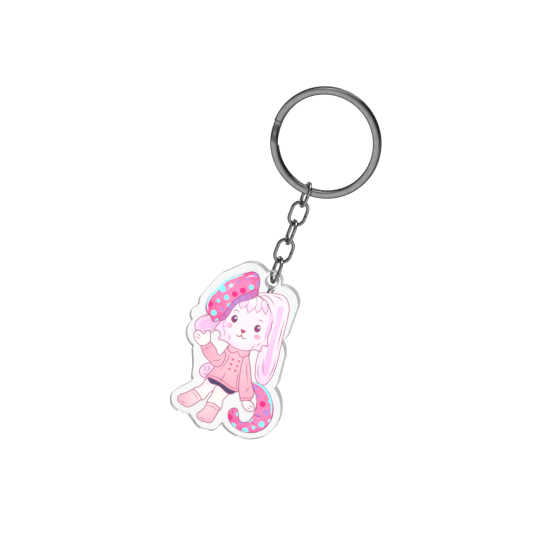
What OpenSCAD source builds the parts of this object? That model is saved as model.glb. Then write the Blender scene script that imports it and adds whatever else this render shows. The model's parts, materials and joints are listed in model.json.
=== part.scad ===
// Keychain: a split ring, a chain of five links and a flat acrylic charm.
// The ring stands in the XZ plane round the origin. The chain hangs down -Z
// and ends in the hole of the charm, whose printed face looks towards -Y.

/* [Split ring] */
// Outer diameter of the split ring
ring_od = 30; // [24:0.5:40]
// Width of the ring's wire, measured along a radius
band_w = 2.2; // [1.6:0.1:2.8]
// Thickness of one coil, measured along the ring's axis
coil_t = 1.1; // [0.9:0.05:1.3]
// Radius of the wire's corners
band_corner = 0.5; // [0.2:0.05:0.5]
// Angle over which the wire steps from one coil to the other
jog = 24; // [16:1:40]

/* [Chain] */
// Diameter of the links' wire
wire_d = 1.0; // [0.7:0.05:1.2]
// Inner width of a link
link_w = 3.3; // [3.0:0.1:4.5]
// Inner length of a link
link_l = 5.5; // [4.5:0.1:8]
// Inner width of the last link, which goes round the charm
end_link_w = 4.4; // [4.2:0.1:5.5]
// Inner length of the last link
end_link_l = 5.9; // [5.5:0.1:9]
// Turn of the chain about its own line
twist = 26; // [0:1:30]
// Gap left where two wires, or a wire and a bore, bear on each other
play = 0.04; // [0.02:0.01:0.08]

/* [Charm] */
// Height of the acrylic plate
charm_h = 48.8; // [36:0.2:70]
// Thickness of the acrylic plate
plate_t = 3; // [2:0.1:3.2]
// Diameter of the hole for the last link
hole_d = 3.2; // [3:0.1:4]
// Wall of clear acrylic round the hole
hole_wall = 1.3; // [1:0.1:2.5]
// Clear border between the print and the plate's edge
border = 2; // [1:0.1:3]
// Thickness of one layer of ink
ink_t = 0.08; // [0.05:0.01:0.1]
// How far the white ink stays inside the colours
choke = 0.15; // [0.05:0.05:0.4]

/* [Hidden] */
$fn = 64;

metal = [0.36, 0.36, 0.37];
wire_r = wire_d / 2;
lap = 1;          // degrees that each coil goes into the stepping stretch
step_slim = 0.1;  // how much narrower that stretch is than the coils
end_gap = 2;      // degrees between a cut end and the stretch beside it
seam = 180;       // where the front coil's cut end lies
coil_pitch = coil_t + play;

// How much wider a bar looks to a link that crosses it at the twist angle
function crossed(half) = (half + wire_r) / cos(twist) - wire_r;

// The first link's end arc seats on the corners of the ring's band.
band_half = crossed(coil_t + play / 2);
seat_reach = link_w / 2 - band_corner - play;
seat_drop = sqrt(pow(seat_reach, 2) - pow(band_half - band_corner, 2)) + band_corner;
first_arc_z = -(ring_od / 2 - band_w) - seat_drop;
first_top_z = first_arc_z + link_w / 2;

// Height of the inner top of link i, and of the last link's lower end arc
function link_top_z(i) = first_top_z - (i - 1) * (link_l - play);
end_arc_z = link_top_z(5) - end_link_l + end_link_w / 2;

// The last link's wire meets the plate's faces a diameter and some below the
// hole's top, because the wire crosses the hole at a slant.
end_mid_r = end_link_w / 2 + wire_r;
slant = 1.2;
hook_rise = sqrt(pow(end_mid_r, 2) - pow(plate_t / 2 / cos(twist), 2))
            + hole_d / 2 - slant * wire_d;
hole_z = end_arc_z - hook_rise;

// The charm's outline about its hole, for a plate of the height outline_h. It is
// made of limbs, each a run of lobes [x, z, radius] joined by straight flanks. The
// core fills the middle.
outline_h = 48.8;
k = charm_h / outline_h;
HAT = [[-5.3, -2.3, 5.4], [-9, -6.6, 5.7], [-11.2, -12.2, 5.6]];
CHEEK = [[-9, -14, 3], [-15, -16.4, 2.8]];
PAW = [[-9, -19, 4], [-12.6, -20.8, 4.6]];
COAT = [[-10.6, -25.2, 3.3], [-8.7, -28.8, 3.6], [-8, -31.6, 3.6]];
LEFT_FOOT = [[-9.6, -40.2, 3.5], [-11.3, -40.3, 3.4], [-6.6, -34.4, 3.5]];
RIGHT_FOOT = [[-7.4, -40.6, 2.9], [-3.8, -42.3, 3.4], [-2.3, -42.1, 3.3], [-1, -36, 3.3]];
BALL = [[6.3, -34.5, 9.2]];
SIDE = [[5.6, -25, 6], [5.3, -18.8, 5.6]];
EAR = [[4.3, -11.2, 5.2], [4.6, -4.2, 4.7]];
LIMBS = [HAT, CHEEK, PAW, COAT, LEFT_FOOT, RIGHT_FOOT, BALL, SIDE, EAR];
CORE = [[-6, -3], [4, -5], [5, -19], [6, -36], [-3, -41], [-9, -40.5], [-6, -36],
        [-8.5, -31], [-9.5, -26], [-12, -20], [-13, -16], [-10, -8]];
flank_in = 0.04;  // how far a flank lies inside its two lobes' true tangent

module wire_section(w) {
    square([w - 2 * band_corner, coil_t], center = true);
    square([w, coil_t - 2 * band_corner], center = true);
    for (x = [-1, 1], y = [-1, 1])
        translate([x * (w / 2 - band_corner), y * (coil_t / 2 - band_corner)])
            circle(r = band_corner);
}

// Arc of the ring's wire in the XY plane, from angle a over a sweep of s degrees
module wire_arc(a, s, w = band_w) {
    rotate_extrude(start = a, angle = s)
        translate([(ring_od - band_w) / 2, 0]) wire_section(w);
}

// The stretch that steps from the front coil down to the back one
module jog_arc() {
    mid = seam + jog / 2;
    run = (ring_od - band_w) / 2 * jog * PI / 180;
    slope = atan(coil_pitch / run);
    rotate([0, 0, mid]) rotate([slope, 0, 0])
        wire_arc(-jog / 2, jog, band_w - step_slim);
}

module split_ring() {
    color(metal) rotate([90, 0, 0]) {
        translate([0, 0, coil_pitch / 2])
            wire_arc(seam + jog - lap, 360 - jog + lap - end_gap);
        translate([0, 0, -coil_pitch / 2])
            wire_arc(seam + jog + end_gap, 360 - jog + lap - end_gap);
        jog_arc();
    }
}

// Half a torus in the YZ plane, open downwards
module end_arc(inner_w) {
    rotate([90, 0, 90]) rotate_extrude(angle = 180)
        translate([inner_w / 2 + wire_r, 0]) circle(r = wire_r);
}

// Oval link in the YZ plane with its inner top at the origin
module oval_link(inner_w, inner_l) {
    side = inner_l - inner_w;
    color(metal) translate([0, 0, -inner_w / 2]) {
        end_arc(inner_w);
        translate([0, 0, -side]) mirror([0, 0, 1]) end_arc(inner_w);
        for (y = [-1, 1])
            translate([0, y * (inner_w / 2 + wire_r), -side])
                cylinder(r = wire_r, h = side);
    }
}

// Link i of the chain: odd links are turned edge-on, even links face-on
module chain_link(i) {
    translate([0, 0, link_top_z(i)]) rotate([0, 0, twist + (i % 2 == 1 ? 0 : 90)])
        if (i < 5) oval_link(link_w, link_l);
        else oval_link(end_link_w, end_link_l);
}

module link_1() { chain_link(1); }
module link_2() { chain_link(2); }
module link_3() { chain_link(3); }
module link_4() { chain_link(4); }
module link_5() { chain_link(5); }

// The four corners of the flanks that join lobe a to lobe b
function flanks(a, b) =
    let (line = atan2(b[1] - a[1], b[0] - a[0]),
         lean = acos((a[2] - b[2]) / norm([b[0] - a[0], b[1] - a[1]])))
    [for (e = [[a, lean], [b, lean], [b, -lean], [a, -lean]])
        let (r = e[0][2] - flank_in)
        [e[0][0] + r * cos(line + e[1]), e[0][1] + r * sin(line + e[1])]];

// Flat blob with the charm's outline, drawn in by the given inset and t thick
module charm_blob(inset, t) {
    linear_extrude(height = t) polygon([for (p = CORE) p * k]);
    for (limb = LIMBS) {
        lobes = [for (l = limb) [l[0] * k, l[1] * k, l[2] * k - inset]];
        for (l = lobes)
            translate([l[0], l[1], 0]) cylinder(r = l[2], h = t);
        for (i = [1:1:len(lobes) - 1])
            linear_extrude(height = t) polygon(flanks(lobes[i - 1], lobes[i]));
    }
}

// Stands a flat piece up in the charm's plane, with its back at y_back
module upright(y_back) {
    translate([0, y_back, hole_z]) rotate([90, 0, 0]) children();
}

module acrylic_plate() {
    color([0.9, 0.95, 0.97, 0.4]) upright(plate_t / 2) difference() {
        union() {
            charm_blob(0, plate_t);
            cylinder(r = hole_d / 2 + hole_wall, h = plate_t);
        }
        translate([0, 0, -plate_t]) cylinder(r = hole_d / 2, h = 3 * plate_t);
    }
}

module white_ink() {
    color("white") upright(-plate_t / 2) charm_blob(border + choke, ink_t);
}

module colour_ink() {
    color([1, 0.56, 0.75]) upright(-plate_t / 2 - ink_t) charm_blob(border, ink_t);
}

split_ring();
link_1();
link_2();
link_3();
link_4();
link_5();
acrylic_plate();
white_ink();
colour_ink();
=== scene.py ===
"""A keychain: a wound ring, a chain of bent links and a printed acrylic charm."""

import json
import math

import bpy
from mathutils import Matrix, Vector


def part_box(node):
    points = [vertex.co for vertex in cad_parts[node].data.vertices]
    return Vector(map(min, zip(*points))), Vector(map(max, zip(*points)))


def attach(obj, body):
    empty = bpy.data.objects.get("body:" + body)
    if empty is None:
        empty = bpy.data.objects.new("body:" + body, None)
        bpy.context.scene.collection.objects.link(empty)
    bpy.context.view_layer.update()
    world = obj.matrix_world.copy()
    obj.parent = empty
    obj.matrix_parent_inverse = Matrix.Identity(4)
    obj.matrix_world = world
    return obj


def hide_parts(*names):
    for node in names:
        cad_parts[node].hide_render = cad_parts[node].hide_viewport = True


bl_info = {
    "name": "Keychain with a Printed Charm",
    "version": (1, 0, 0),
    "blender": (4, 5, 0),
    "location": "View3D > Sidebar > Keychain",
    "description": "Models a split ring, a chain and a printed acrylic charm on a fixed frame",
    "category": "Add Mesh",
}

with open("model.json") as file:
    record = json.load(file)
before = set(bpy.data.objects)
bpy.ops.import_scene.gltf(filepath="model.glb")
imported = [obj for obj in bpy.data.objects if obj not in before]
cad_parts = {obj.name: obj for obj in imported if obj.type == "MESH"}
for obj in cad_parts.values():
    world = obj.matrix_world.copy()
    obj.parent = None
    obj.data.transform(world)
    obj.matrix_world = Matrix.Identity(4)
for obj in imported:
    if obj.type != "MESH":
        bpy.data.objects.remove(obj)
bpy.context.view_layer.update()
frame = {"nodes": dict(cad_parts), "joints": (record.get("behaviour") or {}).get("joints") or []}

MM = 0.001
JOINTS = {joint["name"]: joint for joint in frame["joints"]}
HOLE = Vector(JOINTS["charm_on_link_5"]["pos_m"])
TURN_AXIS = JOINTS["link_2_on_link_1"]["axis"]
CHAIN_TURN = math.atan2(TURN_AXIS[0], -TURN_AXIS[1])
PLATE_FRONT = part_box("acrylic_plate")[0].y
INK_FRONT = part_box("white_ink")[0].y
LINKS = ("link_1", "link_2", "link_3", "link_4", "link_5")

WHITE = (1.0, 1.0, 1.0)
ACRYLIC_IOR = 1.49
PRINT_GRAIN = 0.16  # millimetres between the dots of print
SPOT_PITCH = 2.5    # millimetres between two spots in a row
RING_STEP = math.radians(2)  # between two sections of the ring's wire

# The studio: the height of the floor, what the camera aims at, how far round to the
# right, up and rolled it is in degrees, how far away it stands and its focal length.
FLOOR_HEIGHT = -0.15
AIM = (-0.0029, 0, -0.03745)
CAMERA_ANGLES = (8.5, 14, 21)
CAMERA_DISTANCE = 0.8
FOCAL_LENGTH = 201.7
LAMPS_FACE = (0, 0, -0.035)
LAMPS = (  # name, place, size and watts
    ("key", (-0.35, -0.8, 0.65), 0.4, 3.2),
    ("strip", (0.8, -0.25, 0.1), 0.3, 1.2),
    ("rim", (-0.3, 0.8, 0.5), 0.4, 2.0),
)


# ---------------------------------------------------------------- properties


def length(name, description, default):
    return bpy.props.FloatProperty(
        name=name, description=description, default=default * MM, unit="LENGTH",
        min=0.0, precision=5)


def angle(name, description, default):
    return bpy.props.FloatProperty(
        name=name, description=description, default=math.radians(default),
        subtype="ANGLE", unit="ROTATION")


def colour(name, description, default):
    return bpy.props.FloatVectorProperty(
        name=name, description=description, default=default, subtype="COLOR",
        size=3, min=0.0, max=1.0)


class KeychainSizes(bpy.types.PropertyGroup):
    """Sizes that the makers below read."""

    wire: length("Link Wire", "Diameter of the links' wire", 1.0)
    link_inside: length("Link Inside", "Inner width of a chain link", 3.3)
    last_inside: length("Last Link Inside", "Inner width of the link at the charm", 4.4)
    butt_gap: length("Butt Joint", "Gap between the two ends of a link's wire", 0.07)
    band: length("Ring Band", "Width of the ring's wire along a radius", 2.2)
    coil: length("Coil", "Thickness of one coil of the ring", 1.1)
    flatness: bpy.props.FloatProperty(
        name="Band Flatness", description="1 is a round section, less is a squarer one",
        default=0.84, min=0.4, max=1.0)
    jog: angle("Jog", "Stretch where the wire steps from the back coil to the front", 24)
    end_gap: angle("End Gap", "Gap between a cut end and the step beside it", 2)
    plate_edge: length("Plate Edge", "Rounding of the plate's polished edges", 0.16)
    ink_step: length("Ink Step", "Height of one pass of print", 0.008)
    ink_lift: length("Ink Lift", "Hair's breadth between the plate and the white ink", 0.004)
    line: length("Outline", "Width of the printed outlines", 0.2)


class KeychainColours(bpy.types.PropertyGroup):
    """Colours that the materials below read."""

    # Gunmetal is the paler colour of the painted highlight on the steel's crowns; the next colour
    # is the painted shade beside them.
    metal: colour("Gunmetal", "Plated steel where it is rubbed", (0.31, 0.31, 0.315))
    painted_shade: colour("Painted Shade", "Plated steel beside its crowns", (0.045, 0.045, 0.048))
    outline: colour("Outline", "Printed outlines", (0.50, 0.055, 0.25))
    fur: colour("Fur", "The rabbit's fur", (1.0, 0.89, 0.95))
    fur_shade: colour("Fur Shade", "Shade in the fur", (0.93, 0.52, 0.86))
    cream: colour("Cream", "Muzzle, paws and legs", (1.0, 0.94, 0.90))
    jumper: colour("Jumper", "Jumper and socks", (1.0, 0.56, 0.66))
    jumper_shade: colour("Jumper Shade", "Folds of the jumper", (1.0, 0.40, 0.54))
    trim: colour("Trim", "Buttons, nose and cheeks", (0.80, 0.13, 0.27))
    navy: colour("Navy", "Shorts", (0.045, 0.035, 0.125))
    pink: colour("Cap Pink", "Cap and cushion", (1.0, 0.24, 0.50))
    magenta: colour("Magenta", "First spots and deep shade", (1.0, 0.0, 0.25))
    cyan: colour("Cyan", "Second spots and rims", (0.25, 0.98, 1.0))
    lilac: colour("Lilac", "Third spots", (0.57, 0.26, 0.69))
    clear: colour("Clear Acrylic", "Polished faces of the plate", (0.81, 0.815, 0.82))
    cut: colour("Cut Acrylic", "Cut side of the plate", (0.78, 0.79, 0.80))
    # The arris colour is painted shade along the plate's rounded edges, standing in for the
    # darker refraction there.
    arris_shade: colour("Acrylic Arris", "Rounded edges of the plate", (0.26, 0.26, 0.27))
    floor: colour("Floor", "Board below the part", (0.36, 0.36, 0.36))
    floor_glow: colour("Floor Glow", "Light from within the board", (0.64, 0.64, 0.64))


# ------------------------------------------------------------------ shaders


class Field:
    """A socket that can be used in arithmetic; each step adds a Math node."""

    def __init__(self, paint, socket):
        self.paint = paint
        self.socket = socket

    def math(self, operation, *values):
        return self.paint.node(
            "ShaderNodeMath", {"operation": operation}, dict(enumerate(values)))

    def __add__(self, other):
        return self.math("ADD", self, other)

    def __sub__(self, other):
        return self.math("SUBTRACT", self, other)

    def __rsub__(self, other):
        return self.math("SUBTRACT", other, self)

    def __mul__(self, other):
        return self.math("MULTIPLY", self, other)

    def __pow__(self, other):
        return self.math("POWER", self, other)

    __radd__ = __add__
    __rmul__ = __mul__

    def over(self, other):
        return self.math("GREATER_THAN", self, other)

    def ramp(self, low, high):
        """0 up to low, 1 from high on, and smooth in between."""
        return self.paint.node(
            "ShaderNodeMapRange", {"interpolation_type": "SMOOTHSTEP"},
            {"Value": self, "From Min": low, "From Max": high})


class Paint:
    """The node tree of one material, or of the studio's sky."""

    def __init__(self, name, of_sky=False):
        self.owner = (bpy.data.worlds if of_sky else bpy.data.materials).new(name)
        self.owner.use_nodes = True
        self.tree = self.owner.node_tree
        self.tree.nodes.clear()

    def node(self, kind, settings=None, inputs=None, output=0):
        """Add a node, give it its settings, then its inputs' values or links."""
        node = self.tree.nodes.new(kind)
        for key, value in (settings or {}).items():
            setattr(node, key, value)
        for key, value in (inputs or {}).items():
            if isinstance(value, Field):
                self.tree.links.new(value.socket, node.inputs[key])
            else:
                node.inputs[key].default_value = value
        return Field(self, node.outputs[output]) if node.outputs else None

    def place(self):
        """Place on the object, in millimetres."""
        object_place = self.node("ShaderNodeTexCoord", output="Object")
        return self.node(
            "ShaderNodeVectorMath", {"operation": "SCALE"},
            {0: object_place, "Scale": 1 / MM})

    def axes(self, vector):
        return [
            self.node("ShaderNodeSeparateXYZ", inputs={0: vector}, output=axis)
            for axis in ("X", "Y", "Z")
        ]

    def point(self, x, y, z):
        return self.node("ShaderNodeCombineXYZ", inputs={0: x, 1: y, 2: z})

    def from_centre(self, place, centre):
        """Millimetres right of a centre, above it and away from it, on the print."""
        x, _, z = self.axes(place)
        across = x - (HOLE.x / MM + centre[0])
        up = z - (HOLE.z / MM + centre[1])
        return across, up, (across * across + up * up) ** 0.5

    def noise(self, vector, grain, detail=2.0):
        """Noise whose lumps are about grain millimetres wide."""
        return self.node(
            "ShaderNodeTexNoise",
            inputs={"Vector": vector, "Scale": 1 / grain, "Detail": detail})

    def as_colour(self, value):
        return value if isinstance(value, Field) else (*value, 1.0)

    def mix(self, factor, first, second):
        """The first colour where the factor is 0, the second where it is 1."""
        return self.node(
            "ShaderNodeMix", {"data_type": "RGBA"},
            {"Factor": factor, 6: self.as_colour(first), 7: self.as_colour(second)}, output=2)

    def bump(self, height, depth):
        """Bump whose full height is depth millimetres."""
        return self.node("ShaderNodeBump", inputs={"Height": height, "Distance": depth * MM})

    def finish(self, **inputs):
        """Put the inputs on the shader's own sockets and close the material."""
        named = {key.replace("_", " "): value for key, value in inputs.items()}
        named["Base Color"] = self.as_colour(named["Base Color"])
        surface = self.node("ShaderNodeBsdfPrincipled", inputs=named)
        self.node("ShaderNodeOutputMaterial", inputs={"Surface": surface})
        return self.owner


def gunmetal(name, stretch):
    """Dark plated steel with fine drawn lines, with a painted highlight on the crowns that face
    along Y and painted shade beside them.
    """
    hues = bpy.context.scene.keychain_colours
    paint = Paint(name)
    place = paint.place()
    x, y, z = paint.axes(place)
    if stretch == "round":
        radius = (x * x + z * z) ** 0.5
        lines = paint.noise(paint.point(radius * 6, y * 6, x * 0.2), 1.0, 3.0)
    else:
        lines = paint.noise(paint.point(x * 5, y * 5, z * 0.6), 1.0, 3.0)
    cloud = paint.noise(place, 1.6)
    crown = paint.node("ShaderNodeAttribute", {"attribute_name": "crown"}, output="Fac")
    # Painted highlight on the crowns and painted shade beside them, mottled by the cloud noise.
    painted_highlight = crown.ramp(0.35, 0.98) * (cloud * 0.5 + 0.65)
    tone = paint.mix(painted_highlight, hues.painted_shade, hues.metal)
    return paint.finish(
        Base_Color=tone,
        Metallic=1.0,
        Roughness=0.16 + lines * 0.12 + cloud * 0.06,
        Normal=paint.bump(lines, 0.006),
    )


def clear_acrylic(name, tint, rough, clearness):
    """Cast acrylic with faint haze and wipe marks; a clearness of 1 lets all light in."""
    paint = Paint(name)
    place = paint.place()
    haze = paint.noise(place, 6.0)
    wipes = paint.noise(paint.node(
        "ShaderNodeMapping", inputs={"Vector": place, "Scale": (1, 1, 0.08)}), 0.5)
    return paint.finish(
        Base_Color=paint.mix(haze, tuple(c * 0.985 for c in tint), tint),
        Roughness=wipes.ramp(0.55, 0.85) * 0.03 + rough,
        IOR=ACRYLIC_IOR,
        Transmission_Weight=clearness,
        Normal=paint.bump(haze, 0.004),
    )


def ink(name, main, shade, centre, near, far, depth=0.85):
    """Print in one colour, airbrushed towards a second away from a centre."""
    paint = Paint(name)
    place = paint.place()
    away = paint.from_centre(place, centre)[2]
    cloud = paint.noise(place, 3.0)
    grain = paint.noise(place, PRINT_GRAIN, 1.0)
    soft = (away + cloud * 1.5).ramp(near, far) * depth
    tone = paint.mix(soft, main, shade)
    tone = paint.mix(grain.ramp(0.5, 0.9) * 0.10, tone, WHITE)
    return paint.finish(
        Base_Color=tone,
        Roughness=0.34 + grain * 0.12,
        Normal=paint.bump(grain, 0.004),
    )


def spotted_ink(name, centre):
    """Print with regular slanting rows of round spots in three colours."""
    hues = bpy.context.scene.keychain_colours
    paint = Paint(name)
    place = paint.place()
    across, up, away = paint.from_centre(place, centre)
    slant = 0.7071 / SPOT_PITCH
    flat = paint.point((across + up) * slant, (up - across) * slant, 0.0)
    lattice = {"voronoi_dimensions": "2D"}
    knobs = {"Vector": flat, "Scale": 1.0, "Randomness": 0.0}
    gap = paint.node("ShaderNodeTexVoronoi", lattice, knobs, output="Distance")
    pick = paint.node("ShaderNodeTexVoronoi", lattice, knobs, output="Color")
    first, second, _ = paint.axes(pick)
    size = 0.19 + second * 0.2
    spot = 1 - (gap - size).ramp(-0.012, 0.012)
    cool = paint.mix(first.over(0.5), hues.cyan, hues.lilac)
    spots = paint.mix(first.over(0.7), cool, hues.magenta)
    cloud = paint.noise(place, 2.2)
    shaded = (away * 0.12 + cloud).ramp(0.9, 1.5) * 0.55
    ground = paint.mix(shaded, hues.pink, hues.magenta)
    tone = paint.mix(spot, ground, spots)
    grain = paint.noise(place, PRINT_GRAIN, 1.0)
    tone = paint.mix(grain.ramp(0.5, 0.9) * 0.08, tone, WHITE)
    return paint.finish(
        Base_Color=tone,
        Roughness=0.32 + grain * 0.12,
        Normal=paint.bump(grain, 0.004),
    )


def studio_floor():
    """Matt pale board, lit a little from within so that it stays even."""
    hues = bpy.context.scene.keychain_colours
    paint = Paint("studio floor")
    fleck = paint.noise(paint.place(), 40.0)
    tone = paint.mix(fleck, hues.floor, tuple(c * 0.985 for c in hues.floor))
    return paint.finish(
        Base_Color=tone,
        Roughness=0.7 + fleck * 0.1,
        Emission_Color=(*hues.floor_glow, 1.0),
        Emission_Strength=1.0,
    )


# -------------------------------------------------------------- small tools


def deselect():
    """Back to object mode with nothing selected."""
    if bpy.context.object and bpy.context.object.mode != "OBJECT":
        bpy.ops.object.mode_set(mode="OBJECT")
    bpy.ops.object.select_all(action="DESELECT")


def pick_only(thing):
    """Make one object the only selected one, and the active one."""
    deselect()
    thing.select_set(True)
    bpy.context.view_layer.objects.active = thing


def edit(thing):
    """Start to edit an object, with all of its mesh selected."""
    pick_only(thing)
    bpy.ops.object.mode_set(mode="EDIT")
    bpy.ops.mesh.select_all(action="SELECT")


def finish_piece(piece, name, body, materials, smooth=30):
    """Name a piece, shade it, dress it and let it ride on its body."""
    pick_only(piece)
    piece.name = name
    piece.data.name = name
    bpy.ops.object.shade_smooth_by_angle(angle=math.radians(smooth))
    kept = [face.material_index for face in piece.data.polygons]
    piece.data.materials.clear()
    for material in materials:
        piece.data.materials.append(material)
    for face, index in zip(piece.data.polygons, kept):
        face.material_index = index
    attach(piece, body)
    return piece


def join(things):
    """Join objects into the first of them."""
    pick_only(things[0])
    for thing in things[1:]:
        thing.select_set(True)
    bpy.ops.object.join()
    return things[0]


def select_edges(test):
    """Leave only the edges that pass the test selected, in edit mode."""
    bpy.ops.mesh.select_mode(type="EDGE")
    bpy.ops.mesh.select_all(action="DESELECT")
    bpy.ops.object.mode_set(mode="OBJECT")
    mesh = bpy.context.object.data
    for edge in mesh.edges:
        ends = [mesh.vertices[i].co for i in edge.vertices]
        edge.select = test(*ends)
    bpy.ops.object.mode_set(mode="EDIT")


def close_ends():
    """Cap the open ends of a wire and turn its faces outwards, in edit mode."""
    bpy.ops.mesh.select_mode(type="EDGE")
    bpy.ops.mesh.select_all(action="DESELECT")
    bpy.ops.mesh.select_non_manifold()
    bpy.ops.mesh.edge_face_add()
    bpy.ops.mesh.select_all(action="SELECT")
    bpy.ops.mesh.normals_make_consistent(inside=False)


def blank_from(node, name):
    """Copy a node's mesh, with its flat faces made whole, and start to edit it."""
    blank = bpy.data.objects.new(name, frame["nodes"][node].data.copy())
    bpy.context.collection.objects.link(blank)
    edit(blank)
    bpy.ops.mesh.remove_doubles(threshold=0.002 * MM)
    bpy.ops.mesh.dissolve_limited(angle_limit=math.radians(0.5))
    return blank


def mark_crowns(mesh, worth):
    """Note how much each point is a crown, from its normal's part along Y; the gunmetal uses this
    as the mask of its painted highlight and painted shade.
    """
    crown = mesh.attributes.new("crown", "FLOAT", "POINT")
    for index, normal in enumerate(mesh.vertex_normals):
        crown.data[index].value = worth(normal.vector.y)


# --------------------------------------------------------------------- ring


class KEYCHAIN_OT_ring(bpy.types.Operator):
    """Wind the split ring from one flattened wire"""

    bl_idname = "keychain.ring"
    bl_label = "Split Ring"

    def execute(self, context):
        sizes = context.scene.keychain_sizes
        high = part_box("split_ring")[1]
        middle = high.x - sizes.band / 2
        pitch = (high.y - sizes.coil / 2) * 2
        turn = math.tau - sizes.jog - sizes.end_gap
        deselect()
        bpy.ops.mesh.primitive_circle_add(vertices=32, radius=1, location=(0, 0, 0))
        wire = context.object
        for vertex in wire.data.vertices:
            vertex.co.x = math.copysign(abs(vertex.co.x) ** sizes.flatness, vertex.co.x)
            vertex.co.y = math.copysign(abs(vertex.co.y) ** sizes.flatness, vertex.co.y)
        edit(wire)
        bpy.ops.transform.resize(value=(sizes.band / 2, sizes.coil / 2, 1))
        bpy.ops.transform.translate(value=(middle, 0, 0))
        total = 2 * turn + sizes.jog
        count = round(total / RING_STEP)
        bpy.ops.object.mode_set(mode="OBJECT")
        around = len(wire.data.vertices)
        bpy.ops.object.mode_set(mode="EDIT")
        bpy.ops.mesh.spin(
            steps=count, angle=total, center=(0, 0, 0), axis=(0, 1, 0),
            use_auto_merge=False)
        bpy.ops.object.mode_set(mode="OBJECT")
        mesh = wire.data
        start = math.pi + sizes.jog + sizes.end_gap
        for index, vertex in enumerate(mesh.vertices):
            swept = total * (index // around) / count
            rise = min(max((swept - turn) / sizes.jog, 0), 1)
            rise = rise * rise * (3 - 2 * rise)
            vertex.co.y += pitch * (0.5 - rise)
        mesh.transform(Matrix.Rotation(-start, 4, "Y"))
        edit(wire)
        close_ends()
        bpy.ops.object.mode_set(mode="OBJECT")
        # Painted highlight on the ring's faces turned along Y, painted shade on its rounded
        # sides.
        mark_crowns(wire.data, lambda y: y ** 6)
        crown = wire.data.attributes["crown"].data
        # Painted shade at the seam: both cut ends are kept out of the highlight, so the seam
        # shows as a dark line.
        for index in range(around):
            crown[index].value = crown[-1 - index].value = 0  # the cut ends stay dark
        steel = gunmetal("gunmetal ring", "round")
        piece = finish_piece(wire, "wound_ring", "split_ring", [steel])
        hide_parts("split_ring")
        return {"FINISHED"}


# -------------------------------------------------------------------- chain


class KEYCHAIN_OT_chain(bpy.types.Operator):
    """Bend the five links from round wire, each with its butt joint"""

    bl_idname = "keychain.chain"
    bl_label = "Chain Links"

    def execute(self, context):
        sizes = context.scene.keychain_sizes
        steel = gunmetal("gunmetal link", "long")
        for number, node in enumerate(LINKS):
            inside = sizes.last_inside if node == LINKS[-1] else sizes.link_inside
            low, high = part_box(node)
            link = self.bend(sizes, inside, high.z - low.z)
            turn = CHAIN_TURN + math.radians(90 * (number % 2 - 1))
            middle = Matrix.Translation(((low.x + high.x) / 2, (low.y + high.y) / 2, high.z))
            link.data.transform(middle @ Matrix.Rotation(turn, 4, "Z"))
            finish_piece(link, "bent_" + node, node, [steel])
            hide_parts(node)
        return {"FINISHED"}

    def bend(self, sizes, inside, tall):
        """A link in the XZ plane, its top at the origin."""
        side = inside / 2 + sizes.wire / 2
        arc_top = -side - sizes.wire / 2
        arc_low = -tall - arc_top
        joint = (arc_top + arc_low) / 2
        deselect()
        bpy.ops.mesh.primitive_circle_add(
            vertices=20, radius=sizes.wire / 2, location=(side, 0, joint + sizes.butt_gap / 2))
        link = bpy.context.object
        bpy.ops.object.transform_apply(location=True, rotation=False, scale=False)
        edit(link)
        self.draw_out(arc_top - joint - sizes.butt_gap / 2)
        self.spin(arc_top)
        self.draw_out(arc_low - arc_top)
        self.spin(arc_low)
        self.draw_out(joint - sizes.butt_gap / 2 - arc_low)
        close_ends()
        near = sizes.butt_gap
        select_edges(lambda a, b: a.x > 0 and abs(a.z - b.z) < 1e-7
                     and abs(a.z - joint) < near and abs(b.z - joint) < near)
        bpy.ops.mesh.bevel(offset=sizes.wire * 0.06, segments=2, affect="EDGES")
        bpy.ops.object.mode_set(mode="OBJECT")
        # Painted highlight and painted shade on the links, from each normal's part along Y.
        mark_crowns(link.data, lambda y: abs(2 * y ** 2 - 1))
        return link

    def draw_out(self, rise):
        """Lengthen the wire straight up, or down where rise is below 0."""
        bpy.ops.mesh.extrude_region_move(TRANSFORM_OT_translate={"value": (0, 0, rise)})

    def spin(self, height):
        """Bend the wire over half a turn about the given height."""
        bpy.ops.mesh.spin(
            steps=20, angle=math.pi, center=(0, 0, height), axis=(0, 1, 0),
            use_auto_merge=False)


# -------------------------------------------------------------------- plate


class KEYCHAIN_OT_plate(bpy.types.Operator):
    """Polish the charm's clear acrylic plate"""

    bl_idname = "keychain.plate"
    bl_label = "Acrylic Plate"

    def execute(self, context):
        sizes = context.scene.keychain_sizes
        plate = blank_from("acrylic_plate", "polished_plate")
        bpy.ops.mesh.remove_doubles(threshold=0.04 * MM)
        select_edges(lambda a, b: abs(a.y - b.y) < 1e-7
                     and abs(abs(a.y) - abs(PLATE_FRONT)) < 1e-6)
        bpy.ops.mesh.bevel(offset=sizes.plate_edge, segments=3, affect="EDGES")
        bpy.ops.object.mode_set(mode="OBJECT")
        for face in plate.data.polygons:
            outwards = abs(face.normal.y)
            face.material_index = 0 if outwards > 0.99 else 1 if outwards < 0.01 else 2
        hues = context.scene.keychain_colours
        clear = clear_acrylic("clear acrylic", hues.clear, 0.01, 1.0)
        cut = clear_acrylic("cut acrylic", hues.cut, 0.25, 0.45)
        # The arris gets a dark grey tint: painted shade along the plate's rounded edges.
        arris_shade = clear_acrylic("acrylic arris", hues.arris_shade, 0.3, 0.25)
        piece = finish_piece(
            plate, "polished_plate", "charm", [clear, cut, arris_shade], 35)
        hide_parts("acrylic_plate")
        piece.visible_shadow = False  # light reaches the print through the plate
        base = blank_from("white_ink", "print_base")
        bpy.ops.transform.translate(value=(0, -sizes.ink_lift, 0))
        bpy.ops.object.mode_set(mode="OBJECT")
        finish_piece(base, "print_base", "charm", [white_ink()])
        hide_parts("white_ink")
        return {"FINISHED"}


# -------------------------------------------------------------------- print
# Points of the print are millimetres right of and above the middle of the charm's
# hole, or of the place where a copied shape goes. A third value makes a corner. The
# level of a patch or line counts the passes of ink up to its top.

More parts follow.
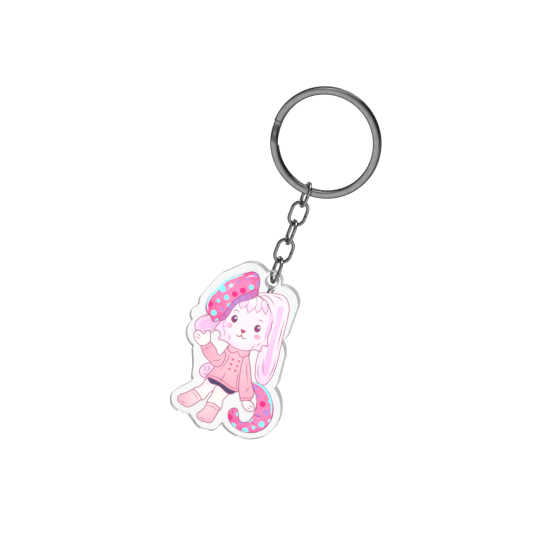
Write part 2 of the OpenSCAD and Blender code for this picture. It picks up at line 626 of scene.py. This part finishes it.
RIGHT_EAR = [
    (-2.2, -4.6), (-0.6, -3.4), (2.2, -2.4), (4.9, -2.2), (6.9, -4.1), (7.8, -7.4), (8.3, -11.6),
    (9.0, -16.4), (9.6, -21), (9.4, -25), (8.0, -27.4), (6.0, -27.0), (4.4, -24),
    (3.6, -19), (3.3, -13), (2.2, -8)]
RIGHT_EAR_LINING = [
    (5.2, -5.0), (6.1, -7.2), (6.6, -12), (7.2, -17), (7.9, -21.6), (7.8, -24.6),
    (7.0, -24.8), (6.1, -21), (5.6, -16), (5.1, -10)]
LEFT_EAR = [
    (-8.2, -9.6), (-10.4, -12.4), (-13, -14.9), (-14.9, -17.2), (-15.3, -19.5),
    (-13.6, -20.8), (-11, -20.2), (-9, -18), (-7.6, -14.8)]
LEFT_EAR_LINING = [
    (-9.8, -14.2), (-12.2, -15.9), (-14.1, -18.0), (-13.8, -19.5), (-11.6, -18.9),
    (-9.6, -16.8)]
TAIL = [
    (-5.6, -27.6), (-7.4, -27.3), (-8.9, -28.2), (-9.7, -29.8), (-9.2, -31.5),
    (-7.4, -32.0), (-5.8, -31.0)]
TAIL_CURLS = [
    [(-8.9, -28.9), (-8.2, -29.4), (-8.5, -30.3)],
    [(-7.9, -28.3), (-7.3, -29.0), (-7.6, -30.0)],
    [(-8.4, -31.2), (-7.7, -30.7), (-7.0, -31.0)]]
CUSHION = [
    (4.4, -28.1, 1), (6.8, -27.2), (9.4, -27.9), (11.8, -30.1), (13.4, -33.3),
    (13.4, -36.6), (11.9, -39.4), (9.2, -41.2), (6.2, -41.6), (3.6, -40.8), (2.0, -39.0),
    (2.1, -37.0), (3.6, -36.2), (4.7, -37.4), (5.6, -38.9), (7.3, -38.7), (8.3, -36.8),
    (8.4, -34.2), (7.6, -31.4), (6.2, -29.6)]
CUSHION_GLOSS = [(5.4, -27.7), (7.4, -27.6), (9.8, -28.7), (11.8, -30.9), (13.1, -34.0)]
CUSHION_PLEATS = [
    [(3.0, -36.6), (3.0, -37.6), (3.7, -38.7)],
    [(2.4, -38.0), (3.1, -38.9), (4.3, -39.4)],
    [(8.2, -37.6), (9.2, -38.2), (10.4, -38.2)],
    [(8.5, -35.6), (9.6, -35.9), (10.8, -35.4)]]
LEFT_LEG = [
    (-6.7, -31.6), (-7.8, -34.2), (-9.5, -36.6), (-6.4, -38.2), (-4.6, -35), (-3.0, -32.2)]
RIGHT_LEG = [
    (-3.4, -32.0), (-4.2, -35.5), (-4.5, -38.4), (-0.6, -38.8), (-0.5, -35.5), (0.2, -32.8)]
LEFT_SOCK = [
    (-9.3, -35.9, 1), (-11.0, -37.8), (-12.6, -39.6), (-12.3, -40.7), (-10.6, -41.4),
    (-9.1, -41.5), (-7.7, -40.2), (-6.1, -37.7, 1), (-7.6, -36.6)]
RIGHT_SOCK = [
    (-4.5, -37.7, 1), (-4.9, -40), (-6.0, -42.3), (-5.3, -43.3), (-3.3, -43.4),
    (-1.5, -42.8), (-0.9, -40.6), (-0.6, -37.9, 1), (-2.6, -37.4)]
SOCK_RIBS = [
    [(-9.6, -36.9), (-8.4, -37.3), (-6.9, -38.5)],
    [(-4.5, -38.8), (-2.6, -38.5), (-0.9, -39.0)],
    [(-11.6, -40.2), (-10.6, -40.6), (-9.7, -40.6)],
    [(-5.2, -42.4), (-4.2, -42.7), (-3.2, -42.6)]]
SHORTS = [
    (-6.6, -30.6), (-2, -30.4), (1.8, -31.2), (1.1, -33.0), (0.1, -33.4), (-3, -32.5),
    (-6.2, -32.3)]
JUMPER = [
    (-3.9, -19.4), (-5.0, -22), (-5.9, -26), (-6.6, -29.3), (-7.5, -31.5, 1),
    (-5.4, -31.3), (-2.4, -31.6), (0.2, -32.1), (2.4, -31.9, 1), (2.6, -29),
    (2.4, -25.5), (1.8, -22), (0.8, -19.1)]
COLLAR = [
    (-4.3, -19.8), (-4.7, -21.7, 1), (-3.1, -22.5), (-1.7, -21.5, 1), (-0.3, -22.5),
    (1.5, -21.3, 1), (1.3, -19.6), (-1.6, -20.0)]
RIGHT_SLEEVE = [
    (0.9, -20.8), (2.2, -22.4), (3.8, -25.4), (5.2, -28.2), (6.7, -30.6),
    (6.4, -32.6, 1), (3.8, -33.9, 1), (2.2, -31), (1.0, -27), (0.4, -23.6)]
LEFT_SLEEVE = [
    (-9.4, -21.9, 1), (-7.6, -22.9), (-6.0, -24.3), (-4.9, -22.9), (-4.2, -24.6),
    (-4.6, -27), (-5.8, -27.9), (-8.0, -27.1), (-10, -26), (-11.7, -24.2, 1)]
FOLDS = [
    [(-3.4, -22.6), (-3.5, -25.0), (-4.4, -28.6)],
    [(0.4, -26.0), (0.9, -28.6), (1.7, -31.4)],
    [(-2.7, -28.0), (-2.9, -29.8), (-3.4, -31.2)],
    [(-6.9, -30.7), (-4.6, -30.4), (-2.2, -30.7), (0.2, -31.3), (2.3, -31.1)],
    [(1.6, -22.9), (2.6, -25.6), (3.9, -28.4)],
    [(4.9, -29.2), (4.5, -30.3), (4.4, -31.2)],
    [(3.4, -33.0), (4.8, -32.6), (6.3, -31.7)],
    [(-10.8, -25.1), (-9.9, -24.0), (-8.7, -22.8)],
    [(-5.1, -25.0), (-6.0, -26.0), (-7.2, -26.4)]]
BUTTON = [(0, 0.34), (0.34, 0), (0, -0.34), (-0.34, 0)]
BUTTONS = [
    (-2.1, -24.0), (-0.4, -23.8), (-2.1, -25.4), (-0.4, -25.2), (-2.1, -26.8), (-0.4, -26.6)]
LEFT_PAW = [
    (-9.6, -21.6), (-9.7, -22.3), (-11.5, -24.0), (-13.2, -23.5), (-14.4, -22.4),
    (-14.6, -21.0), (-13.4, -20.1), (-12.2, -20.5), (-11.6, -19.4), (-10.6, -19.3),
    (-10.1, -20.4)]
RIGHT_PAW = [
    (4.3, -33.6), (5.2, -33.0), (6.4, -32.7), (7.7, -33.4), (8.3, -34.7), (7.4, -35.6),
    (6.0, -35.6), (4.9, -34.9)]
TOES = [
    [(-14.1, -21.3), (-13.2, -21.4), (-12.5, -21.8)],
    [(-14.0, -22.3), (-13.1, -22.2), (-12.4, -22.5)],
    [(7.9, -34.4), (7.0, -34.1), (6.5, -34.2)],
    [(7.3, -35.2), (6.6, -34.8), (6.1, -34.9)]]
HEAD = [
    (-2.4, -4.8), (0.8, -5.6), (3.3, -8.2), (4.6, -11.6), (4.7, -14.4), (5.6, -16.9, 1),
    (4.2, -17.2), (4.3, -19.0, 1), (2.4, -19.2), (0.2, -20.5), (-3.0, -20.9),
    (-5.8, -20.2), (-7.9, -20.4, 1), (-8.0, -18.7), (-10.1, -18.2, 1), (-9.1, -15.6),
    (-8.9, -12.0), (-6.9, -7.6)]
MUZZLE = [
    (-2.3, -15.0), (-0.4, -15.6), (0.3, -17.0), (-0.6, -18.4), (-2.3, -18.9),
    (-4.0, -18.4), (-4.9, -17.0), (-4.2, -15.6)]
NOSE = [(-3.0, -15.3), (-2.3, -15.2), (-1.6, -15.3), (-1.8, -15.9), (-2.3, -16.2), (-2.8, -15.9)]
EYE = [(0, 1.15), (0.7, 0.6), (0.75, -0.5), (0, -1.05), (-0.75, -0.5), (-0.7, 0.6)]
GLINT = [(0, 0.3), (0.26, 0), (0, -0.3), (-0.26, 0)]
CHEEK = [(0, 0.7), (1.15, 0), (0, -0.7), (-1.15, 0)]
EYES = [(-5.7, -13.4), (1.1, -13.4)]
CHEEKS = [(-6.7, -15.6), (2.1, -15.6)]
MOUTH = [
    [(-2.3, -16.1), (-2.3, -16.7), (-2.7, -17.3), (-3.4, -17.4), (-3.9, -17.0)],
    [(-2.3, -16.1), (-2.3, -16.7), (-1.9, -17.3), (-1.2, -17.4), (-0.7, -17.0)]]
BROWS = [
    [(-6.6, -11.3), (-5.8, -10.9), (-5.0, -11.1)],
    [(0.4, -11.1), (1.2, -10.9), (2.0, -11.3)]]
FUR_LINES = [
    [(2.6, -18.2), (2.9, -17.3), (3.5, -16.7)],
    [(1.2, -19.3), (1.8, -18.6), (2.0, -17.8)],
    [(-6.6, -18.9), (-6.7, -18.0), (-7.3, -17.2)],
    [(-5.0, -19.4), (-5.2, -18.6), (-5.6, -18.0)]]
EAR_LINES = [
    [(-1.2, -4.4), (0.6, -4.1), (2.2, -4.8), (3.2, -5.8)],
    [(2.0, -3.3), (3.6, -3.2), (5.0, -3.6)],
    [(4.3, -9.0), (4.4, -13.0), (4.9, -17.4)],
    [(7.0, -8.2), (7.5, -12.4), (8.1, -16.6)],
    [(8.7, -19.0), (9.0, -22.0), (8.6, -25.2)],
    [(4.9, -22.4), (5.6, -24.8), (6.6, -26.2)],
    [(5.6, -20.4), (6.2, -22.6), (7.0, -24.0)],
    [(-10.6, -13.6), (-12.6, -15.2), (-14.2, -17.0)],
    [(-9.6, -18.0), (-11.2, -19.4), (-12.8, -20.0)]]
FLUFF = [
    [(-1.6, -5.0), (-0.2, -6.0), (0.2, -7.8), (-0.6, -9.6, 1), (-1.6, -8.2), (-2.6, -6.4)],
    [(-3.2, -5.2), (-1.6, -6.4), (-1.6, -8.4), (-2.8, -10.6, 1), (-3.9, -8.8), (-4.6, -6.6)],
    [(-5.2, -6.4), (-3.8, -7.4), (-3.9, -8.8), (-5.2, -10.2, 1), (-6.0, -8.9), (-6.4, -7.6)],
    [(0.2, -5.2), (1.4, -6.2), (2.0, -7.6), (1.8, -9.0, 1), (0.6, -8.0), (-0.4, -6.4)]]
CHEEK_STREAKS = [
    [(3.2, -8.0), (4.2, -10.8), (4.5, -13.8), (3.9, -16.2, 1), (3.6, -13.4), (3.4, -10.6)],
    [(-8.3, -12.6), (-8.5, -14.6), (-8.2, -16.4), (-7.2, -17.8, 1), (-7.4, -15.8), (-7.8, -14.0)]]
CAP = [
    (-5.0, 0.8), (-3.2, -0.3), (-2.5, -2.4), (-2.5, -4.8), (-4.2, -6.4), (-6.2, -7.8),
    (-7.4, -10), (-7.9, -12.6), (-9.2, -14.9), (-10.7, -16.4), (-12.2, -15.3),
    (-13.7, -14.5), (-14.35, -12.4), (-14.1, -9.8), (-12.4, -6.8), (-11.1, -3.8),
    (-9.2, -2.2), (-7.2, -0.4)]
CAP_BAND = [
    (-2.6, -3.4), (-2.3, -5.2), (-4.0, -7.1), (-5.9, -8.6), (-7.0, -10.8), (-7.5, -13.2),
    (-8.6, -15.2), (-9.6, -15.4), (-8.9, -12.9), (-8.2, -10.2), (-6.9, -7.4), (-4.9, -5.4)]
CAP_RIBS = [
    [(-3.0, -5.9), (-3.6, -5.4), (-3.7, -4.6)],
    [(-4.4, -7.2), (-4.8, -6.6), (-5.0, -5.9)],
    [(-5.7, -8.5), (-6.2, -7.9), (-6.5, -7.2)],
    [(-6.7, -10.1), (-7.3, -9.6), (-7.7, -9.0)],
    [(-7.3, -12.0), (-8.0, -11.6), (-8.5, -11.2)],
    [(-7.8, -13.9), (-8.5, -13.6), (-9.0, -13.2)]]
CAP_GLOSS = [
    (-7.6, -1.0), (-9.5, -2.7), (-11.3, -4.4), (-12.6, -7.2), (-13.8, -10.0),
    (-14.0, -12.4), (-13.2, -14.2)]
CAP_GLINTS = [
    [(-8.9, -4.0), (-9.8, -5.4), (-10.2, -6.6)],
    [(-6.6, -1.6), (-5.6, -0.6), (-4.6, -0.4)]]


def drawn_curve(points, closed):
    """A smooth curve through the points, flat on the ground plane."""
    deselect()
    if closed:
        bpy.ops.curve.primitive_bezier_circle_add(radius=MM, location=(0, 0, 0))
    else:
        bpy.ops.curve.primitive_bezier_curve_add(radius=MM, location=(0, 0, 0))
    curve = bpy.context.object
    spline = curve.data.splines[0]
    spline.bezier_points.add(len(points) - len(spline.bezier_points))
    for knot, point in zip(spline.bezier_points, points):
        kind = "VECTOR" if len(point) > 2 else "AUTO"
        knot.co = (point[0] * MM, point[1] * MM, 0)
        knot.handle_left_type = kind
        knot.handle_right_type = kind
    curve.data.resolution_u = 7
    return curve


def printed_patch(points, level, line=None):
    """A flat patch of ink: material 0 inside, 1 along the rim and 2, white, behind."""
    sizes = bpy.context.scene.keychain_sizes
    line = sizes.line if line is None else line
    drawn_curve(points, True)
    bpy.ops.object.convert(target="MESH")
    patch = bpy.context.object
    edit(patch)
    bpy.ops.mesh.remove_doubles(threshold=0.02 * MM)
    bpy.ops.mesh.edge_face_add()
    bpy.ops.object.mode_set(mode="OBJECT")
    faces_up = patch.data.polygons[0].normal.z > 0
    bpy.ops.object.mode_set(mode="EDIT")
    if not faces_up:
        bpy.ops.mesh.flip_normals()
    if line:
        bpy.ops.mesh.inset(thickness=line, use_even_offset=False)
    bpy.ops.object.mode_set(mode="OBJECT")
    for face in patch.data.polygons:
        face.material_index = 0 if face.select else 1
    edit(patch)
    bpy.ops.mesh.extrude_region_move(
        TRANSFORM_OT_translate={"value": (0, 0, level * sizes.ink_step)})
    bpy.ops.mesh.select_all(action="SELECT")
    bpy.ops.mesh.normals_make_consistent(inside=False)
    bpy.ops.object.mode_set(mode="OBJECT")
    for face in patch.data.polygons:
        if face.normal.z < -0.9:
            face.material_index = 2
    return patch


def printed_line(points, width, level):
    """A flat pen line that swells in the middle and thins at both ends."""
    sizes = bpy.context.scene.keychain_sizes
    curve = drawn_curve(points, False)
    curve.data.dimensions = "3D"
    curve.data.bevel_depth = width * MM / 2
    curve.data.bevel_resolution = 2
    curve.data.use_fill_caps = True
    knots = curve.data.splines[0].bezier_points
    for index, knot in enumerate(knots):
        knot.radius = 0.3 + 0.7 * math.sin(math.pi * index / (len(knots) - 1))
    bpy.ops.object.convert(target="MESH")
    line = bpy.context.object
    for vertex in line.data.vertices:
        vertex.co.z = level * sizes.ink_step if vertex.co.z > -1e-7 else 0
    edit(line)
    bpy.ops.mesh.remove_doubles(threshold=0.001 * MM)
    bpy.ops.mesh.normals_make_consistent(inside=False)
    bpy.ops.object.mode_set(mode="OBJECT")
    return line


def copies(model, places):
    """Copy a patch to several places and join the copies to one piece."""
    made = []
    for x, z in places:
        again = bpy.data.objects.new(model.name, model.data.copy())
        bpy.context.collection.objects.link(again)
        again.data.transform(Matrix.Translation((x * MM, z * MM, 0)))
        made.append(again)
    bpy.data.objects.remove(model)
    return join(made)


def print_piece(piece, name, materials):
    """Lay a patch or line on the white ink and let it ride on the charm."""
    upright = Matrix.Rotation(math.pi / 2, 4, "X")
    piece.data.transform(Matrix.Translation((HOLE.x, INK_FRONT, HOLE.z)) @ upright)
    finish_piece(piece, name, "charm", materials)
    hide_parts("colour_ink")


def outline_ink():
    hues = bpy.context.scene.keychain_colours
    return bpy.data.materials.get("outline ink") or ink(
        "outline ink", hues.outline, tuple(c * 0.7 for c in hues.outline), (-3, -18), 4, 24)


def white_ink():
    return bpy.data.materials.get("white ink") or ink(
        "white ink", (0.93, 0.92, 0.93), (0.86, 0.85, 0.88), (0, -20), 5, 30)


def cyan_ink():
    hues = bpy.context.scene.keychain_colours
    return bpy.data.materials.get("cyan ink") or ink(
        "cyan ink", hues.cyan, (0.6, 1.0, 1.0), (4, -20), 8, 30, 0.4)


def patch_inks(fill):
    """A patch's materials: its fill, its rim and its back."""
    return [fill, outline_ink(), white_ink()]


def lines(paths, width, level, name, material=None):
    """Print pen lines, in the outlines' ink unless another is given."""
    drawn = join([printed_line(path, width, level) for path in paths])
    print_piece(drawn, name, [material or outline_ink()])


def patch(points, level, name, material, line=None):
    """Print one patch; line is the width of its rim in metres."""
    print_piece(printed_patch(points, level, line), name, patch_inks(material))


class KEYCHAIN_OT_print_ears(bpy.types.Operator):
    """Print the rabbit's two hanging ears and its tail"""

    bl_idname = "keychain.print_ears"
    bl_label = "Printed Ears and Tail"

    def execute(self, context):
        hues = context.scene.keychain_colours
        fur = ink("fur ink ears", hues.fur, hues.fur_shade, (4, -5), 9, 30, 0.55)
        lining = ink("ear lining ink", (1.0, 0.66, 0.90), hues.fur_shade, (6, -10), 3, 14, 0.8)
        patch(RIGHT_EAR, 1, "print_right_ear", fur)
        patch(LEFT_EAR, 1, "print_left_ear", fur)
        patch(TAIL, 1, "print_tail", fur)
        patch(RIGHT_EAR_LINING, 2, "print_right_ear_lining", lining, 0)
        patch(LEFT_EAR_LINING, 2, "print_left_ear_lining", lining, 0)
        lines(EAR_LINES + TAIL_CURLS, 0.22, 3, "print_ear_lines")
        return {"FINISHED"}


class KEYCHAIN_OT_print_cushion(bpy.types.Operator):
    """Print the spotted crescent cushion"""

    bl_idname = "keychain.print_cushion"
    bl_label = "Printed Cushion"

    def execute(self, context):
        patch(CUSHION, 4, "print_cushion", spotted_ink("spotted cushion ink", (8, -34)))
        lines([CUSHION_GLOSS], 0.7, 5, "print_cushion_gloss", cyan_ink())
        lines(CUSHION_PLEATS, 0.22, 5, "print_cushion_pleats")
        return {"FINISHED"}


class KEYCHAIN_OT_print_legs(bpy.types.Operator):
    """Print the legs, the socks and the shorts"""

    bl_idname = "keychain.print_legs"
    bl_label = "Printed Legs"

    def execute(self, context):
        hues = context.scene.keychain_colours
        skin = ink("leg ink", hues.cream, hues.fur_shade, (-4, -37), 2.5, 8, 0.35)
        sock = ink("sock ink", (1.0, 0.74, 0.78), hues.jumper_shade, (-6, -37), 1.5, 9, 0.75)
        navy = ink("shorts ink", hues.navy, (0.12, 0.06, 0.2), (-3, -32), 2, 6, 0.6)
        patch(LEFT_LEG, 4, "print_left_leg", skin)
        patch(RIGHT_LEG, 5, "print_right_leg", skin)
        patch(LEFT_SOCK, 6, "print_left_sock", sock)
        patch(RIGHT_SOCK, 6, "print_right_sock", sock)
        patch(SHORTS, 7, "print_shorts", navy)
        lines(SOCK_RIBS, 0.18, 7, "print_sock_ribs")
        return {"FINISHED"}


class KEYCHAIN_OT_print_jumper(bpy.types.Operator):
    """Print the jumper with its sleeves, collar, buttons and folds"""

    bl_idname = "keychain.print_jumper"
    bl_label = "Printed Jumper"

    def execute(self, context):
        hues = context.scene.keychain_colours
        knit = ink("jumper ink", hues.jumper, hues.jumper_shade, (-2, -25), 2.5, 9, 0.75)
        sleeve = ink("sleeve ink", hues.jumper, hues.jumper_shade, (1, -22), 4, 14, 0.7)
        rib = ink("collar ink", (1.0, 0.66, 0.74), hues.jumper_shade, (-2, -20), 1, 4, 0.6)
        trim = ink("trim ink", hues.trim, hues.jumper_shade, (-2, -25), 3, 20, 0.6)
        patch(JUMPER, 8, "print_jumper", knit)
        patch(COLLAR, 10, "print_collar", rib)
        patch(RIGHT_SLEEVE, 9, "print_right_sleeve", sleeve)
        patch(LEFT_SLEEVE, 9, "print_left_sleeve", sleeve)
        lines(FOLDS, 0.2, 11, "print_folds")
        buttons = copies(printed_patch(BUTTON, 11, 0.09 * MM), BUTTONS)
        print_piece(buttons, "print_buttons", patch_inks(trim))
        return {"FINISHED"}


class KEYCHAIN_OT_print_paws(bpy.types.Operator):
    """Print the raised paw and the resting paw"""

    bl_idname = "keychain.print_paws"
    bl_label = "Printed Paws"

    def execute(self, context):
        hues = context.scene.keychain_colours
        cream = ink("paw ink", hues.cream, hues.fur_shade, (-3, -27), 10, 14, 0.16)
        patch(LEFT_PAW, 11, "print_left_paw", cream)
        patch(RIGHT_PAW, 11, "print_right_paw", cream)
        lines(TOES, 0.2, 12, "print_toes")
        return {"FINISHED"}


class KEYCHAIN_OT_print_head(bpy.types.Operator):
    """Print the rabbit's head and its plain face"""

    bl_idname = "keychain.print_head"
    bl_label = "Printed Head"

    def execute(self, context):
        hues = context.scene.keychain_colours
        fur = ink("fur ink head", hues.fur, hues.fur_shade, (-1.5, -13.5), 5, 11, 0.5)
        cream = ink("muzzle ink", hues.cream, hues.fur, (-2.3, -17), 1.6, 3.2)
        trim = ink("nose ink", hues.trim, hues.outline, (-2.3, -15.4), 0.3, 1.2)
        dark = ink("eye ink", (0.13, 0.02, 0.09), (0.35, 0.04, 0.2), (-2.3, -12.6), 3, 5)
        blush = ink("cheek ink", (1.0, 0.42, 0.62), hues.fur, (-2.2, -15), 4.6, 6.6)
        white = ink("glint ink", WHITE, (0.9, 0.95, 1.0), (0, -13), 1, 9)
        patch(HEAD, 12, "print_head", fur)
        tuft = ink("tuft ink", (1.0, 0.93, 0.97), (1.0, 0.66, 0.90), (-2.2, -6), 1.5, 5, 0.8)
        streak = ink("streak ink", hues.fur_shade, (1.0, 0.75, 0.94), (-2, -16), 6, 9, 0.6)
        for number, leaf in enumerate(FLUFF):
            patch(leaf, 13 + number / 2, f"print_tuft_{number + 1}", tuft, 0.13 * MM)
        for number, leaf in enumerate(CHEEK_STREAKS):
            patch(leaf, 12.5, f"print_cheek_streak_{number + 1}", streak, 0)
        patch(MUZZLE, 12.7, "print_muzzle", cream, 0)
        patch(NOSE, 14, "print_nose", trim, 0.07 * MM)
        lines(MOUTH, 0.3, 14, "print_mouth")
        lines(BROWS, 0.26, 13, "print_brows")
        lines(FUR_LINES, 0.2, 14, "print_fur_lines")
        eyes = copies(printed_patch(EYE, 13, 0.08 * MM), EYES)
        print_piece(eyes, "print_eyes", patch_inks(dark))
        glints = copies(printed_patch(GLINT, 14, 0), [(x + 0.25, z + 0.4) for x, z in EYES])
        print_piece(glints, "print_eye_glints", patch_inks(white))
        cheeks = copies(printed_patch(CHEEK, 13, 0), CHEEKS)
        print_piece(cheeks, "print_cheeks", patch_inks(blush))
        return {"FINISHED"}


class KEYCHAIN_OT_print_cap(bpy.types.Operator):
    """Print the spotted cap with its ribbed band"""

    bl_idname = "keychain.print_cap"
    bl_label = "Printed Cap"

    def execute(self, context):
        hues = context.scene.keychain_colours
        patch(CAP, 15, "print_cap", spotted_ink("spotted cap ink", (-8, -7)))
        band = ink("cap band ink", hues.lilac, hues.magenta, (-6, -9), 2, 8, 0.5)
        patch(CAP_BAND, 16, "print_cap_band", band)
        lines(CAP_RIBS, 0.16, 17, "print_cap_ribs")
        lines([CAP_GLOSS], 0.62, 16, "print_cap_gloss", cyan_ink())
        shine = ink("shine ink", (1.0, 0.75, 0.88), (1.0, 0.9, 0.95), (-8, -4), 1, 5)
        lines(CAP_GLINTS, 0.35, 16, "print_cap_glints", shine)
        return {"FINISHED"}


# ------------------------------------------------------------------- studio


class KEYCHAIN_OT_studio(bpy.types.Operator):
    """Lay the floor, hang the lights and set up the camera"""

    bl_idname = "keychain.studio"
    bl_label = "Studio"

    def execute(self, context):
        self.lay_floor()
        self.light(context)
        self.place_camera(context)
        return {"FINISHED"}

    def lay_floor(self):
        deselect()
        bpy.ops.mesh.primitive_grid_add(
            x_subdivisions=12, y_subdivisions=12, size=16, location=(0, 0, FLOOR_HEIGHT))
        floor = bpy.context.object
        bpy.ops.object.transform_apply(location=True, rotation=False, scale=False)
        floor.name = "studio_floor"
        floor.data.materials.append(studio_floor())

    def light(self, context):
        sky = Paint("studio", of_sky=True)
        height = sky.axes(sky.node("ShaderNodeTexCoord", output="Generated"))[2]
        tone = sky.mix(height.ramp(0.1, 0.5), (0.32, 0.32, 0.325), (0.16, 0.16, 0.16))
        glow = sky.node("ShaderNodeBackground", inputs={"Color": tone})
        sky.node("ShaderNodeOutputWorld", inputs={"Surface": glow})
        context.scene.world = sky.owner
        context.scene.view_settings.view_transform = "Standard"
        bpy.ops.object.light_add(type="SUN", location=(0, 0, 1))
        overhead = bpy.context.object
        overhead.name = "overhead"
        overhead.data.energy = 3.0
        overhead.data.angle = math.radians(30)
        overhead.rotation_euler = (math.radians(8), 0, 0)
        for name, spot, size, power in LAMPS:
            bpy.ops.object.light_add(type="AREA", radius=size, location=spot)
            lamp = bpy.context.object
            lamp.name = name
            lamp.data.size = size
            lamp.data.energy = power
            ray = Vector(LAMPS_FACE) - lamp.location
            lamp.rotation_euler = ray.to_track_quat("-Z", "Y").to_euler()

    def place_camera(self, context):
        around, above, roll = (math.radians(a) for a in CAMERA_ANGLES)
        away = Vector((
            math.sin(around) * math.cos(above),
            -math.cos(around) * math.cos(above),
            math.sin(above)))
        bpy.ops.object.camera_add(location=Vector(AIM) + away * CAMERA_DISTANCE)
        camera = bpy.context.object
        level = (-away).to_track_quat("-Z", "Y").to_matrix()
        camera.rotation_euler = (level @ Matrix.Rotation(roll, 3, "Z")).to_euler()
        camera.data.lens = FOCAL_LENGTH
        camera.data.clip_start = 0.01
        context.scene.camera = camera


# -------------------------------------------------------------------- panel

MAKERS = (
    KEYCHAIN_OT_ring,
    KEYCHAIN_OT_chain,
    KEYCHAIN_OT_plate,
    KEYCHAIN_OT_print_ears,
    KEYCHAIN_OT_print_cushion,
    KEYCHAIN_OT_print_legs,
    KEYCHAIN_OT_print_jumper,
    KEYCHAIN_OT_print_paws,
    KEYCHAIN_OT_print_head,
    KEYCHAIN_OT_print_cap,
    KEYCHAIN_OT_studio,
)


class KEYCHAIN_PT_panel(bpy.types.Panel):
    """Lists the makers and the sizes and colours that they read"""

    bl_idname = "KEYCHAIN_PT_panel"
    bl_label = "Keychain"
    bl_space_type = "VIEW_3D"
    bl_region_type = "UI"
    bl_category = "Keychain"

    def draw(self, context):
        column = self.layout.column()
        for maker in MAKERS:
            column.operator(maker.bl_idname)
        for group in (context.scene.keychain_sizes, context.scene.keychain_colours):
            box = self.layout.box()
            for field in group.__annotations__:
                box.prop(group, field)


CLASSES = (KeychainSizes, KeychainColours, *MAKERS, KEYCHAIN_PT_panel)


def register():
    for kind in CLASSES:
        bpy.utils.register_class(kind)
    bpy.types.Scene.keychain_sizes = bpy.props.PointerProperty(type=KeychainSizes)
    bpy.types.Scene.keychain_colours = bpy.props.PointerProperty(type=KeychainColours)


def unregister():
    del bpy.types.Scene.keychain_colours
    del bpy.types.Scene.keychain_sizes
    for kind in reversed(CLASSES):
        bpy.utils.unregister_class(kind)


def main():
    register()
    for maker in MAKERS:
        group, name = maker.bl_idname.split(".")
        getattr(getattr(bpy.ops, group), name)()
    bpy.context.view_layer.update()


if __name__ == "__main__":
    main()
